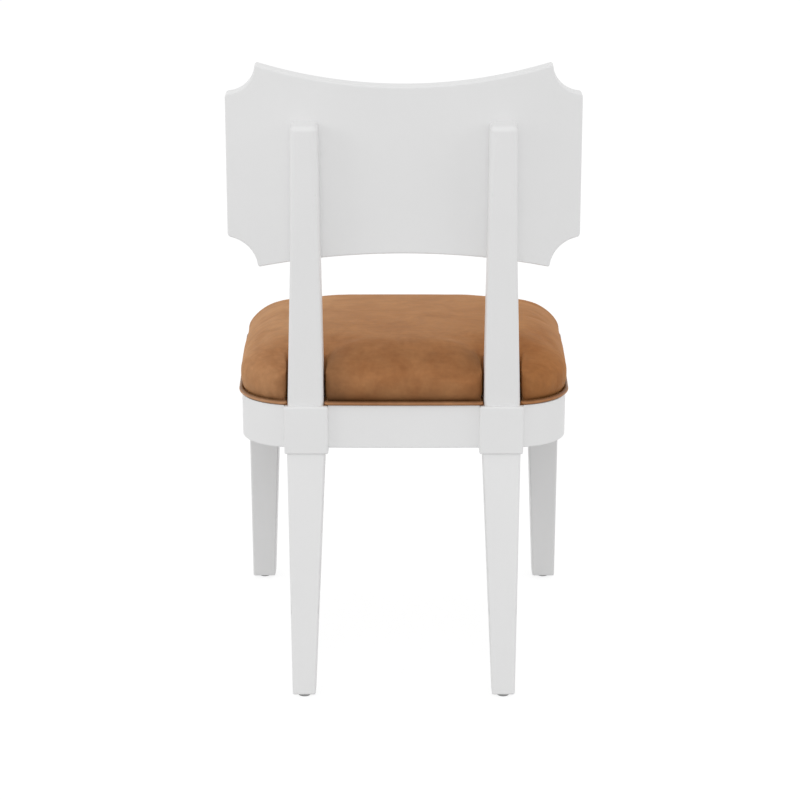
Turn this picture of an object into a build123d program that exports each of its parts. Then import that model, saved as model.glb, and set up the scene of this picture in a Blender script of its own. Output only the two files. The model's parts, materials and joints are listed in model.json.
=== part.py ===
from build123d import *
from math import cos, radians, sin, sqrt
import os

# Upholstered dining chair in millimetres.
# The sitter faces -Y, the floor is Z = 0 and the origin lies under the middle of the footprint.

# Seat frame
overall_depth = 511.6
rear_foot_rake = 63.0
seat_width_rear = 456.0
seat_width_front = 490.0
rear_bow = 5.0
front_bow = 6.0
rear_corner_radius = 76.0
front_corner_radius = 60.0
rail_top = 414.0
rail_height = 62.0
rail_thickness = 24.0
rail_edge_radius = 2.0

# Square blocks where the legs meet the rails
block_height = 69.0
block_edge_radius = 2.5
block_step = 3.3
rear_block_width = 61.4
rear_block_depth = 58.0
rear_block_proud = 7.0
rear_leg_inset = 91.6
front_block_size = 53.7
front_block_proud = 3.7
front_leg_inset = 24.65

# Legs below the blocks
leg_edge_radius = 3.0
foot_edge_radius = 2.4
rear_leg_inner_step = 4.9
rear_foot_width = 32.6
rear_foot_depth = 28.0
rear_foot_splay = 5.0
front_foot_size = 35.8

# Back posts
back_lean = 7.0
post_setback = 6.5
post_inner_step = 5.9
post_width_seat = 50.6
post_width_waist = 40.8
post_width_top = 36.6
post_depth_seat = 46.0
post_waist_inset = 1.5
post_top_inset = 2.4
post_waist_height = 630.0
post_top_height = 809.6
post_edge_radius = 5.0
post_crown_radius = 9.5
post_crown_housing = 6.5
post_end_radius = 7.0

# Curved back panel
panel_mid_height = 745.4
panel_height = 283.0
panel_width_top = 477.2
panel_width_bottom = 483.0
panel_thickness = 20.0
panel_radius = 1150.0
panel_dip = 25.6
panel_scoop = 41.2
panel_scoop_depth = 11.3
panel_tip_radius = 3.0
panel_side_radius = 6.0
panel_edge_radius = 2.5
panel_behind = 23.6
panel_housing = 3.0

# Corner blocks inside the seat frame
corner_block_height = 28.0
corner_block_drop = 4.0
front_corner_leg = 100.0
rear_corner_leg = 150.0

# Upholstered seat
leather = 1.2
board_thickness = 15.0
fold_under = 40.0
fold_around_notch = 14.0
notch_gap = 2.5
notch_corner_radius = 4.0
soft_gap = 0.2
welt_diameter = 7.0
welt_cord_diameter = 4.4
dust_cover_thickness = 0.6
dust_cover_gap = 3.0
dust_cover_hole_gap = 2.0
smallest_inner_radius = 5.0

# Crowned cushion
cushion_inset = 2.4
cushion_height = 82.0
cushion_crown_radius = 2600.0
cushion_crown_shift = 65.0
cushion_edge_radius = 44.0
cushion_base_radius = 4.0
board_gap = 9.0

# Fasteners
glue_gap = 0.1
dowel_diameter = 10.0
dowel_length = 40.0
dowel_spacing = 30.0
side_dowel_inset = 19.0
back_dowel_length = 30.0
back_dowel_spacing = 90.0
screw_diameter = 4.0
screw_length = 28.0
screw_grip = 12.0
screw_head_diameter = 8.0
screw_head_height = 3.0
screw_from_tip = 24.0
screw_pocket_gap = 1.0
screw_pocket_depth = 60.0
bolt_diameter = 6.0
bolt_length = 46.0
bolt_head_diameter = 11.0
bolt_head_height = 4.5
bolt_socket_width = 4.0
bolt_socket_depth = 2.5
bolt_gap = 0.5
front_bolt_from_leg = 12.0
rear_bolt_from_leg = 24.0
rear_bolt_outwards = 12.0
washer_diameter = 18.0
washer_thickness = 1.5
tee_nut_barrel_diameter = 8.0
tee_nut_barrel_length = 9.0
tee_nut_flange_diameter = 17.0
tee_nut_flange_thickness = 1.2
tee_nut_bore_gap = 0.05
staple_crown = 11.0
staple_wire = 0.9
staple_leg = 7.0
staple_gap = 0.05
staple_inset = 33.0
staple_spacing = 38.0
staples_per_side = 8
staples_in_front = 8
staples_behind = 5

# Floor glides
glide_diameter = 18.0
glide_height = 4.5
glide_edge_radius = 1.0
nail_diameter = 2.6
nail_length = 20.0
nail_head_diameter = 8.0
nail_head_height = 1.4
nail_recess = 0.6


# Places worked out from the sizes
rail_bottom = rail_top - rail_height
rail_middle = rail_top - rail_height / 2
block_bottom = rail_top - block_height
welt_offset = welt_diameter / 2 + soft_gap - cushion_inset
welt_reach = welt_offset + welt_diameter / 2
rail_back_y = overall_depth / 2 - rear_foot_rake
rail_front_y = -overall_depth / 2 + welt_reach
rear_corner_y = rail_back_y - rear_bow
front_corner_y = rail_front_y + front_bow
crown_y = (rail_back_y + rail_front_y) / 2 + cushion_crown_shift
rear_block_back_y = rail_back_y + rear_block_proud
rear_block_y = rear_block_back_y - rear_block_depth / 2
front_block_front_y = front_corner_y - front_block_proud
front_block_y = front_block_front_y + front_block_size / 2
rear_leg_x = seat_width_rear / 2 - rear_leg_inset
front_leg_x = seat_width_front / 2 - front_leg_inset
rear_foot_x = rear_leg_x + rear_foot_splay
rear_foot_y = rail_back_y + rear_foot_rake - rear_foot_depth / 2
front_foot_x = front_leg_x + front_block_size / 2 - front_foot_size / 2
front_foot_y = front_block_front_y + front_foot_size / 2
foot_bottom = glide_height
lean = radians(back_lean)
post_back_y = rear_block_back_y - post_setback
post_inner_x = rear_leg_x - rear_block_width / 2 + post_inner_step
post_seat_x = post_inner_x + post_width_seat / 2
post_waist_x = post_inner_x + post_waist_inset + post_width_waist / 2
post_top_x = post_inner_x + post_top_inset + post_width_top / 2


def panel_wrap(x):
    """How far the panel has curved forwards at a distance from its middle."""
    return panel_radius - sqrt(panel_radius**2 - x**2)


post_depth = panel_behind + panel_wrap(post_waist_x + post_width_waist / 2) + panel_housing
post_crown_depth = post_depth + post_crown_housing


def post_back_at(height):
    """Rear face of the leaning post at a height."""
    return post_back_y + (height - rail_top) * sin(lean) / cos(lean)


def side_face_at(y):
    """Outer face of the side rail at a depth."""
    share = (rear_corner_y - y) / (rear_corner_y - front_corner_y)
    return (seat_width_rear + share * (seat_width_front - seat_width_rear)) / 2


def seat_outline(grow, rear_radius, front_radius):
    """Plan of the seat frame, grown outwards by one distance all round."""
    half_rear = seat_width_rear / 2 + grow
    half_front = seat_width_front / 2 + grow
    rear_y = rail_back_y + grow
    front_y = rail_front_y - grow
    with BuildSketch() as plan:
        with BuildLine():
            rear_edge = ThreePointArc(
                (-half_rear, rear_y - rear_bow), (0, rear_y), (half_rear, rear_y - rear_bow)
            )
            front_edge = ThreePointArc(
                (half_front, front_y + front_bow), (0, front_y), (-half_front, front_y + front_bow)
            )
            Line(rear_edge @ 1, front_edge @ 0)
            Line(front_edge @ 1, rear_edge @ 0)
        make_face()
        fillet(plan.vertices().group_by(Axis.Y)[-1], radius=rear_radius)
        fillet(plan.vertices().group_by(Axis.Y)[0], radius=front_radius)
    return plan.sketch


def frame_outline(grow):
    """Seat outline whose corners stay parallel to the rails."""
    rear_radius = max(rear_corner_radius + grow, smallest_inner_radius)
    front_radius = max(front_corner_radius + grow, smallest_inner_radius)
    return seat_outline(grow, rear_radius, front_radius)


def mirrored(left_piece):
    """The same piece for the other side of the chair."""
    with BuildPart() as right_piece:
        mirror(left_piece, about=Plane.YZ)
    return right_piece.part


def pegs(places, diameter, length):
    """Round pegs centred on their places."""
    with BuildPart() as group:
        with Locations(*places):
            Cylinder(diameter / 2, length)
    return group.part


# Curved back panel, cut from a leaning cylinder by its scalloped outline
panel_rear_y = post_back_at(panel_mid_height) - panel_behind / cos(lean)
panel_origin = (0, panel_rear_y, panel_mid_height)
panel_plan = Plane(origin=panel_origin, x_dir=(1, 0, 0), z_dir=(0, sin(lean), cos(lean)))
panel_front = Plane(origin=panel_origin, x_dir=(1, 0, 0), z_dir=(0, -cos(lean), sin(lean)))
panel_top = panel_height / 2
panel_bottom = -panel_height / 2
panel_half_top = panel_width_top / 2
panel_half_bottom = panel_width_bottom / 2
panel_tip_top = panel_half_top - panel_scoop
panel_tip_bottom = panel_half_bottom - panel_scoop
scoop_middle = panel_scoop / 2 + panel_scoop_depth * sqrt(0.5)

with BuildPart() as back_panel:
    with BuildSketch(panel_plan):
        with Locations((0, -panel_radius)):
            Circle(panel_radius)
            Circle(panel_radius - panel_thickness, mode=Mode.SUBTRACT)
        Rectangle(panel_width_bottom + panel_thickness, panel_radius, mode=Mode.INTERSECT)
    extrude(amount=panel_height, both=True)
    with BuildSketch(panel_front) as scallop:
        with BuildLine():
            top_sag = TangentArc((0, panel_top - panel_dip), (panel_tip_top, panel_top), tangent=(1, 0))
            upper_scoop = ThreePointArc(
                top_sag @ 1,
                (panel_half_top - scoop_middle, panel_top - scoop_middle),
                (panel_half_top, panel_top - panel_scoop),
            )
            bottom_rise = TangentArc(
                (0, panel_bottom + panel_dip), (panel_tip_bottom, panel_bottom), tangent=(1, 0)
            )
            lower_scoop = ThreePointArc(
                bottom_rise @ 1,
                (panel_half_bottom - scoop_middle, panel_bottom + scoop_middle),
                (panel_half_bottom, panel_bottom + panel_scoop),
            )
            Line(upper_scoop @ 1, lower_scoop @ 1)
            mirror(about=Plane.YZ)
        make_face()
        tips = scallop.vertices().filter_by(lambda corner: abs(corner.Y) > panel_top - panel_dip / 2)
        fillet(tips, radius=panel_tip_radius)
        sides = scallop.vertices().filter_by(
            lambda corner: abs(corner.X) > panel_half_top - panel_scoop / 2
        )
        fillet(sides, radius=panel_side_radius)
    extrude(amount=panel_radius, both=True, mode=Mode.INTERSECT)
    panel_faces = back_panel.faces().filter_by(GeomType.CYLINDER).sort_by(SortBy.AREA)[-2:]
    fillet(panel_faces.edges(), radius=panel_edge_radius)


# Faces of the leg blocks that the rails meet
rear_block_inner_x = rear_leg_x - rear_block_width / 2
rear_block_outer_x = rear_leg_x + rear_block_width / 2
rear_block_front_y = rear_block_back_y - rear_block_depth
front_block_inner_x = front_leg_x - front_block_size / 2
front_block_back_y = front_block_front_y + front_block_size


def rear_face_at(x):
    """Outer face of the bowed rear rail at a distance from the middle."""
    return rail_back_y - rear_bow * (2 * x / seat_width_rear) ** 2


def front_face_at(x):
    """Outer face of the bowed front rail at a distance from the middle."""
    return rail_front_y + front_bow * (2 * x / seat_width_front) ** 2


# Turns that point a fastener's own Z axis along the chair's axes
to_left = (0, 90, 0)
to_front = (90, 0, 0)
to_rear = (-90, 0, 0)

# Dowels: two at each end of every rail, and two from each post into the back panel
rear_dowel_y = rear_face_at(rear_block_inner_x) - rail_thickness / 2
front_dowel_y = front_face_at(front_block_inner_x) + rail_thickness / 2
side_rear_dowel_y = rail_back_y - side_dowel_inset
side_front_dowel_x = side_face_at(front_block_back_y) - rail_thickness / 2
rail_dowel_places = []
for side in (-1, 1):
    for height in (rail_middle - dowel_spacing / 2, rail_middle + dowel_spacing / 2):
        rail_dowel_places += [
            Location((side * rear_block_inner_x, rear_dowel_y, height), to_left),
            Location((side * rear_block_outer_x, side_rear_dowel_y, height), to_left),
            Location((side * front_block_inner_x, front_dowel_y, height), to_left),
            Location((side * side_front_dowel_x, front_block_back_y, height), to_front),
        ]

back_dowel_places = []
for side in (-1, 1):
    for rise in (-back_dowel_spacing / 2, back_dowel_spacing / 2):
        on_panel = panel_plan.from_local_coords((side * post_waist_x, -panel_wrap(post_waist_x), rise))
        back_dowel_places.append(Location(on_panel, (90 - back_lean, 0, 0)))

hole_diameter = dowel_diameter + 2 * glue_gap
rail_dowels = pegs(rail_dowel_places, dowel_diameter, dowel_length)
rail_dowel_holes = pegs(rail_dowel_places, hole_diameter, dowel_length + 2 * glue_gap)
back_dowels = pegs(back_dowel_places, dowel_diameter, back_dowel_length)
back_dowel_holes = pegs(back_dowel_places, hole_diameter, back_dowel_length + 2 * glue_gap)

with BuildPart() as drilled_panel:
    add(back_panel.part)
    add(back_dowel_holes, mode=Mode.SUBTRACT)


# Screws that hold the corner blocks to the rails
corner_block_top = rail_top - corner_block_drop
corner_block_bottom = corner_block_top - corner_block_height
corner_block_middle = corner_block_top - corner_block_height / 2
front_corner_x = seat_width_front / 2 - rail_thickness
front_corner_inner_y = front_corner_y + rail_thickness
rear_corner_x = seat_width_rear / 2 - rail_thickness
rear_corner_inner_y = rear_corner_y - rail_thickness
front_screw_reach = front_corner_leg - screw_from_tip
rear_screw_reach = rear_corner_leg - screw_from_tip
screw_head_depth = rail_thickness + screw_grip

front_screw_x = front_corner_x - front_screw_reach
rear_screw_x = rear_corner_x - rear_screw_reach
front_side_screw_y = front_corner_inner_y + front_screw_reach
rear_side_screw_y = rear_corner_inner_y - rear_screw_reach
front_screw_y = front_face_at(front_screw_x) + screw_head_depth
rear_screw_y = rear_face_at(rear_screw_x) - screw_head_depth
front_side_screw_x = side_face_at(front_side_screw_y) - screw_head_depth
rear_side_screw_x = side_face_at(rear_side_screw_y) - screw_head_depth
left_screw_places = [
    Location((front_screw_x, front_screw_y, corner_block_middle), to_front),
    Location((rear_screw_x, rear_screw_y, corner_block_middle), to_rear),
    Location((front_side_screw_x, front_side_screw_y, corner_block_middle), to_left),
    Location((rear_side_screw_x, rear_side_screw_y, corner_block_middle), to_left),
]


def left_screws(gap, head_gap, head_height):
    """Screws of the two left corner blocks, with room around the shank and the head."""
    with BuildPart() as group:
        with Locations(*left_screw_places):
            Cylinder(
                screw_diameter / 2 + gap, screw_length + gap, align=(Align.CENTER, Align.CENTER, Align.MIN)
            )
            Cylinder(
                screw_head_diameter / 2 + head_gap,
                head_height,
                align=(Align.CENTER, Align.CENTER, Align.MAX),
            )
    return group.part


with BuildPart() as corner_block_screws:
    add(left_screws(0, 0, screw_head_height))
    mirror(about=Plane.YZ)

screw_holes = left_screws(glue_gap, screw_pocket_gap, screw_pocket_depth)


# Bolts that hold the seat down, with their washers and tee nuts
bolt_bottom = corner_block_bottom - washer_thickness
board_bottom = rail_top + leather
board_top = board_bottom + board_thickness
bolt_spots = []
for side in (-1, 1):
    front_x = front_block_inner_x - front_bolt_from_leg
    bolt_spots.append((side * front_x, front_block_back_y + front_bolt_from_leg))
    rear_x = rear_leg_x + rear_bolt_outwards
    bolt_spots.append((side * rear_x, rear_block_front_y - rear_bolt_from_leg))

bolt_hole_diameter = bolt_diameter + 2 * bolt_gap

with BuildPart() as seat_bolts:
    with BuildSketch(Plane.XY.offset(bolt_bottom)):
        with Locations(*bolt_spots):
            Circle(bolt_diameter / 2)
    extrude(amount=bolt_length)
    with BuildSketch(Plane.XY.offset(bolt_bottom)):
        with Locations(*bolt_spots):
            Circle(bolt_head_diameter / 2)
    extrude(amount=-bolt_head_height)
    with BuildSketch(Plane.XY.offset(bolt_bottom - bolt_head_height)):
        with Locations(*bolt_spots):
            RegularPolygon(bolt_socket_width / 2, 6)
    extrude(amount=bolt_socket_depth, mode=Mode.SUBTRACT)

with BuildPart() as seat_washers:
    with BuildSketch(Plane.XY.offset(bolt_bottom)):
        with Locations(*bolt_spots):
            Circle(washer_diameter / 2)
            Circle(bolt_hole_diameter / 2, mode=Mode.SUBTRACT)
    extrude(amount=washer_thickness)

flange_bottom = board_top - tee_nut_flange_thickness
with BuildPart() as seat_tee_nuts:
    with BuildSketch(Plane.XY.offset(flange_bottom)):
        with Locations(*bolt_spots):
            Circle(tee_nut_flange_diameter / 2)
    extrude(amount=tee_nut_flange_thickness)
    with BuildSketch(Plane.XY.offset(flange_bottom)):
        with Locations(*bolt_spots):
            Circle(tee_nut_barrel_diameter / 2)
    extrude(amount=-tee_nut_barrel_length)
    with BuildSketch(Plane.XY.offset(board_top)):
        with Locations(*bolt_spots):
            Circle(bolt_diameter / 2 + tee_nut_bore_gap)
    extrude(amount=-board_thickness, mode=Mode.SUBTRACT)

with BuildPart() as bolt_holes:
    with BuildSketch(Plane.XY.offset(corner_block_bottom)):
        with Locations(*bolt_spots):
            Circle(bolt_hole_diameter / 2)
    extrude(amount=corner_block_height)


# Rear legs: block, raked leg and leaning post in one, scribed to the back of the panel
post_top_plane = Plane(
    origin=(0, post_back_at(post_top_height), post_top_height),
    x_dir=(1, 0, 0),
    z_dir=(0, sin(lean), cos(lean)),
)
nail_base = nail_recess + nail_head_height
foot_spots = {
    "rear_left": (rear_foot_x, rear_foot_y),
    "rear_right": (-rear_foot_x, rear_foot_y),
    "front_left": (front_foot_x, front_foot_y),
    "front_right": (-front_foot_x, front_foot_y),
}

with BuildPart() as glide_nails:
    with BuildSketch(Plane.XY.offset(nail_base)):
        with Locations(*foot_spots.values()):
            Circle(nail_diameter / 2)
    extrude(amount=nail_length)
    with BuildSketch(Plane.XY.offset(nail_base)):
        with Locations(*foot_spots.values()):
            Circle(nail_head_diameter / 2)
    extrude(amount=-nail_head_height)

with BuildPart() as nail_holes:
    with BuildSketch(Plane.XY.offset(nail_base)):
        with Locations(*foot_spots.values()):
            Circle(nail_diameter / 2 + glue_gap)
    extrude(amount=nail_length + glue_gap)

with BuildPart() as rear_leg_left:
    with BuildSketch(Plane.XY.offset(block_bottom)):
        with Locations((rear_leg_x, rear_block_y)):
            Rectangle(rear_block_width, rear_block_depth)
    extrude(amount=block_height)
    fillet(rear_leg_left.edges(), radius=block_edge_radius)
    with BuildSketch(Plane.XY.offset(block_bottom)):
        with Locations((rear_leg_x + (rear_leg_inner_step - block_step) / 2, rear_block_y)):
            RectangleRounded(
                rear_block_width - block_step - rear_leg_inner_step,
                rear_block_depth - 2 * block_step,
                leg_edge_radius,
            )
    with BuildSketch(Plane.XY.offset(foot_bottom)):
        with Locations((rear_foot_x, rear_foot_y)):
            RectangleRounded(rear_foot_width, rear_foot_depth, leg_edge_radius)
    loft()
    fillet(rear_leg_left.faces().sort_by(Axis.Z)[0].edges(), radius=foot_edge_radius)
    with BuildSketch(Plane.XY.offset(rail_top)):
        with Locations((post_seat_x, post_back_y - post_depth_seat / 2)):
            RectangleRounded(post_width_seat, post_depth_seat, post_edge_radius)
    with BuildSketch(Plane.XY.offset(post_waist_height)):
        with Locations((post_waist_x, post_back_at(post_waist_height) - post_depth / 2)):
            RectangleRounded(post_width_waist, post_depth, post_edge_radius)
    with BuildSketch(post_top_plane):
        with Locations((post_top_x, -post_crown_depth / 2)):
            RectangleRounded(post_width_top, post_crown_depth, post_crown_radius)
    loft(ruled=True)
    fillet(rear_leg_left.faces().sort_by(Axis.Z)[-1].edges(), radius=post_end_radius)
    add(back_panel.part, mode=Mode.SUBTRACT)
    add(back_dowel_holes, mode=Mode.SUBTRACT)
    add(rail_dowel_holes, mode=Mode.SUBTRACT)
    add(nail_holes.part, mode=Mode.SUBTRACT)

rear_leg_right = mirrored(rear_leg_left.part)


# Front legs: block and a leg that runs on flush outside and tapers on its two inner faces
with BuildPart() as front_leg_left:
    with BuildSketch(Plane.XY.offset(block_bottom)):
        with Locations((front_leg_x, front_block_y)):
            Rectangle(front_block_size, front_block_size)
    extrude(amount=block_height)
    fillet(front_leg_left.edges().group_by(Axis.Z)[1:], radius=block_edge_radius)
    with BuildSketch(Plane.XY.offset(block_bottom)):
        with Locations((front_leg_x + block_step / 2, front_block_y - block_step / 2)):
            RectangleRounded(
                front_block_size - block_step, front_block_size - block_step, block_edge_radius
            )
    with BuildSketch(Plane.XY.offset(foot_bottom)):
        with Locations((front_foot_x, front_foot_y)):
            RectangleRounded(front_foot_size, front_foot_size, leg_edge_radius)
    loft()
    fillet(front_leg_left.faces().sort_by(Axis.Z)[0].edges(), radius=foot_edge_radius)
    add(rail_dowel_holes, mode=Mode.SUBTRACT)
    add(nail_holes.part, mode=Mode.SUBTRACT)

front_leg_right = mirrored(front_leg_left.part)


# Rails: one hoop with a softened lower edge, cut where the leg blocks stand
rail_outer = frame_outline(0)
rail_inner = frame_outline(-rail_thickness)

with BuildPart() as hoop:
    with BuildSketch(Plane.XY.offset(rail_bottom)):
        add(rail_outer)
        add(rail_inner, mode=Mode.SUBTRACT)
    extrude(amount=rail_height)
    fillet(hoop.faces().sort_by(Axis.Z)[0].outer_wire().edges(), radius=rail_edge_radius)

with BuildPart() as rear_rail:
    add(hoop.part)
    with BuildSketch(Plane.XY.offset(rail_bottom)):
        with Locations((0, rail_back_y)):
            Rectangle(2 * rear_block_inner_x, 2 * rear_block_depth)
    extrude(amount=rail_height, mode=Mode.INTERSECT)
    add(rail_dowel_holes, mode=Mode.SUBTRACT)
    add(screw_holes, mode=Mode.SUBTRACT)
    add(mirrored(screw_holes), mode=Mode.SUBTRACT)

with BuildPart() as front_rail:
    add(hoop.part)
    with BuildSketch(Plane.XY.offset(rail_bottom)):
        with Locations((0, rail_front_y)):
            Rectangle(2 * front_block_inner_x, 2 * front_block_size)
    extrude(amount=rail_height, mode=Mode.INTERSECT)
    add(rail_dowel_holes, mode=Mode.SUBTRACT)
    add(screw_holes, mode=Mode.SUBTRACT)
    add(mirrored(screw_holes), mode=Mode.SUBTRACT)

with BuildPart() as side_rail_left:
    add(hoop.part)
    with BuildSketch(Plane.XY.offset(rail_bottom)):
        with Locations((rear_block_outer_x, front_block_back_y)):
            Rectangle(seat_width_front, overall_depth, align=(Align.MIN, Align.MIN))
    extrude(amount=rail_height, mode=Mode.INTERSECT)
    add(rail_dowel_holes, mode=Mode.SUBTRACT)
    add(screw_holes, mode=Mode.SUBTRACT)

side_rail_right = mirrored(side_rail_left.part)


# Corner blocks: glued into the corners of the hoop, notched round the leg blocks
with BuildPart() as corner_block_front_left:
    with BuildSketch(Plane.XY.offset(corner_block_bottom)):
        add(rail_inner)
        with Locations((front_corner_x, front_corner_inner_y)):
            Rectangle(front_corner_leg * sqrt(2), front_corner_leg * sqrt(2), 45, mode=Mode.INTERSECT)
        with Locations((front_leg_x, front_block_y)):
            Rectangle(front_block_size, front_block_size, mode=Mode.SUBTRACT)
    extrude(amount=corner_block_height)
    add(screw_holes, mode=Mode.SUBTRACT)
    add(bolt_holes.part, mode=Mode.SUBTRACT)

with BuildPart() as corner_block_rear_left:
    with BuildSketch(Plane.XY.offset(corner_block_bottom)):
        add(rail_inner)
        with Locations((rear_corner_x, rear_corner_inner_y)):
            Rectangle(rear_corner_leg * sqrt(2), rear_corner_leg * sqrt(2), 45, mode=Mode.INTERSECT)
        with Locations((rear_leg_x, rear_block_y)):
            Rectangle(rear_block_width, rear_block_depth, mode=Mode.SUBTRACT)
    extrude(amount=corner_block_height)
    add(screw_holes, mode=Mode.SUBTRACT)
    add(bolt_holes.part, mode=Mode.SUBTRACT)

corner_block_front_right = mirrored(corner_block_front_left.part)
corner_block_rear_right = mirrored(corner_block_rear_left.part)


# Staples round the underside of the seat
staple_base = rail_top - dust_cover_thickness
staple_places = []
for step in range(staples_per_side):
    y = (step - (staples_per_side - 1) / 2) * staple_spacing
    for side in (-1, 1):
        x = side * (side_face_at(y) - staple_inset)
        staple_places.append(Location((x, y, staple_base), (0, 0, 90)))
for step in range(staples_in_front):
    x = (step - (staples_in_front - 1) / 2) * staple_spacing
    staple_places.append(Location((x, front_face_at(x) + staple_inset, staple_base)))
for step in range(staples_behind):
    x = (step - (staples_behind - 1) / 2) * staple_spacing
    staple_places.append(Location((x, rear_face_at(x) - staple_inset, staple_base)))


def staples(gap):
    """Wire staples with their crowns below the dust cover and their legs in the board."""
    wire = staple_wire + 2 * gap
    leg_x = (staple_crown - staple_wire) / 2
    with BuildPart() as group:
        with Locations(*staple_places):
            Box(staple_crown + 2 * gap, wire, staple_wire, align=(Align.CENTER, Align.CENTER, Align.MAX))
            with Locations((leg_x, 0, 0), (-leg_x, 0, 0)):
                Box(wire, wire, staple_leg + gap, align=(Align.CENTER, Align.CENTER, Align.MIN))
    return group.part


cover_staples = staples(0)
staple_holes = staples(staple_gap)


# Cushion: one crowned form for the leather, and a smaller one for the foam


def post_notches(gap):
    """Slots in the cushion that the posts rise through."""
    width = post_width_seat + 2 * gap
    depth = post_depth_seat + 2 * gap
    with BuildPart() as slots:
        with BuildSketch(Plane.XY.offset(rail_top - cushion_height)) as plan:
            with Locations((post_seat_x, post_back_y + gap)):
                Rectangle(width, 2 * depth, align=(Align.CENTER, Align.CENTER))
            fillet(plan.vertices(), radius=notch_corner_radius)
        extrude(amount=3 * cushion_height)
        mirror(about=Plane.YZ)
    return slots.part


def cushion_form(shrink):
    """Crowned cushion drawn in at its foot, shrunk all round by one distance."""
    crown = cushion_crown_radius - shrink
    crown_centre = rail_top + cushion_height - cushion_crown_radius
    with BuildPart() as form:
        with BuildSketch(Plane.XY.offset(rail_top + shrink)):
            add(frame_outline(-cushion_inset - shrink))
        extrude(amount=2 * cushion_height)
        with Locations((0, crown_y, crown_centre)):
            Sphere(crown, rotation=(90, 0, 0), mode=Mode.INTERSECT)
        fillet(form.faces().sort_by(Axis.Z)[-1].edges(), radius=cushion_edge_radius - shrink)
        fillet(form.faces().sort_by(Axis.Z)[0].edges(), radius=cushion_base_radius - shrink)
        add(post_notches(notch_gap + shrink), mode=Mode.SUBTRACT)
    return form.part


with BuildPart() as seat_cover:
    add(cushion_form(0))
    add(cushion_form(leather), mode=Mode.SUBTRACT)
    with BuildSketch(Plane.XY.offset(rail_top)):
        add(frame_outline(-fold_under))
        for side in (-1, 1):
            with Locations((side * post_seat_x, post_back_y)):
                Rectangle(
                    post_width_seat + 2 * (notch_gap + fold_around_notch),
                    2 * (post_depth_seat + notch_gap + fold_around_notch),
                    mode=Mode.SUBTRACT,
                )
    extrude(amount=leather, mode=Mode.SUBTRACT)
    add(staple_holes, mode=Mode.SUBTRACT)

with BuildPart() as seat_board:
    with BuildSketch(Plane.XY.offset(board_bottom)):
        add(frame_outline(-cushion_inset - board_gap))
    extrude(amount=board_thickness)
    add(post_notches(notch_gap + leather + soft_gap), mode=Mode.SUBTRACT)
    with BuildSketch(Plane.XY.offset(board_top)):
        with Locations(*bolt_spots):
            Circle(tee_nut_barrel_diameter / 2 + glue_gap)
    extrude(amount=-board_thickness, mode=Mode.SUBTRACT)
    with BuildSketch(Plane.XY.offset(board_top)):
        with Locations(*bolt_spots):
            Circle(tee_nut_flange_diameter / 2 + glue_gap)
    extrude(amount=-tee_nut_flange_thickness, mode=Mode.SUBTRACT)
    add(staple_holes, mode=Mode.SUBTRACT)

with BuildPart() as seat_foam:
    add(cushion_form(leather + soft_gap))
    split(bisect_by=Plane.XY.offset(board_top), keep=Keep.TOP)


# Welt along the foot of the cushion: a leather tube over a cord, broken at the posts
welt_outline = frame_outline(welt_offset)
welt_height = rail_top + welt_diameter / 2 + soft_gap
welt_path = welt_outline.face().outer_wire().moved(Location((0, 0, welt_height)))
welt_start = Plane(origin=welt_path @ 0, z_dir=welt_path % 0)

with BuildPart() as welt:
    with BuildSketch(welt_start):
        Circle(welt_diameter / 2)
        Circle(welt_cord_diameter / 2 + glue_gap, mode=Mode.SUBTRACT)
    sweep(path=welt_path)
    add(post_notches(notch_gap), mode=Mode.SUBTRACT)

with BuildPart() as welt_cord:
    with BuildSketch(welt_start):
        Circle(welt_cord_diameter / 2)
    sweep(path=welt_path)
    add(post_notches(notch_gap), mode=Mode.SUBTRACT)


# Dust cover under the seat, inside the rails and round the leg blocks
with BuildPart() as dust_cover:
    with BuildSketch(Plane.XY.offset(staple_base)):
        add(frame_outline(-rail_thickness - dust_cover_gap))
        for side in (-1, 1):
            with Locations((side * rear_leg_x, rear_block_y)):
                Rectangle(
                    rear_block_width + 2 * dust_cover_gap,
                    rear_block_depth + 2 * dust_cover_gap,
                    mode=Mode.SUBTRACT,
                )
            with Locations((side * front_leg_x, front_block_y)):
                Rectangle(
                    front_block_size + 2 * dust_cover_gap,
                    front_block_size + 2 * dust_cover_gap,
                    mode=Mode.SUBTRACT,
                )
        with Locations(*bolt_spots):
            Circle(bolt_hole_diameter / 2 + dust_cover_hole_gap, mode=Mode.SUBTRACT)
    extrude(amount=dust_cover_thickness)
    add(staple_holes, mode=Mode.SUBTRACT)


def glide(spot):
    """Plastic floor glide with a recess for the nail's head."""
    with BuildPart() as disc:
        with BuildSketch():
            with Locations(spot):
                Circle(glide_diameter / 2)
        extrude(amount=glide_height)
        fillet(disc.edges().group_by(Axis.Z)[0], radius=glide_edge_radius)
        with BuildSketch():
            with Locations(spot):
                Circle(nail_diameter / 2 + glue_gap)
        extrude(amount=glide_height, mode=Mode.SUBTRACT)
        with BuildSketch():
            with Locations(spot):
                Circle(nail_head_diameter / 2 + glue_gap)
        extrude(amount=nail_base, mode=Mode.SUBTRACT)
    return disc.part


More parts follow.
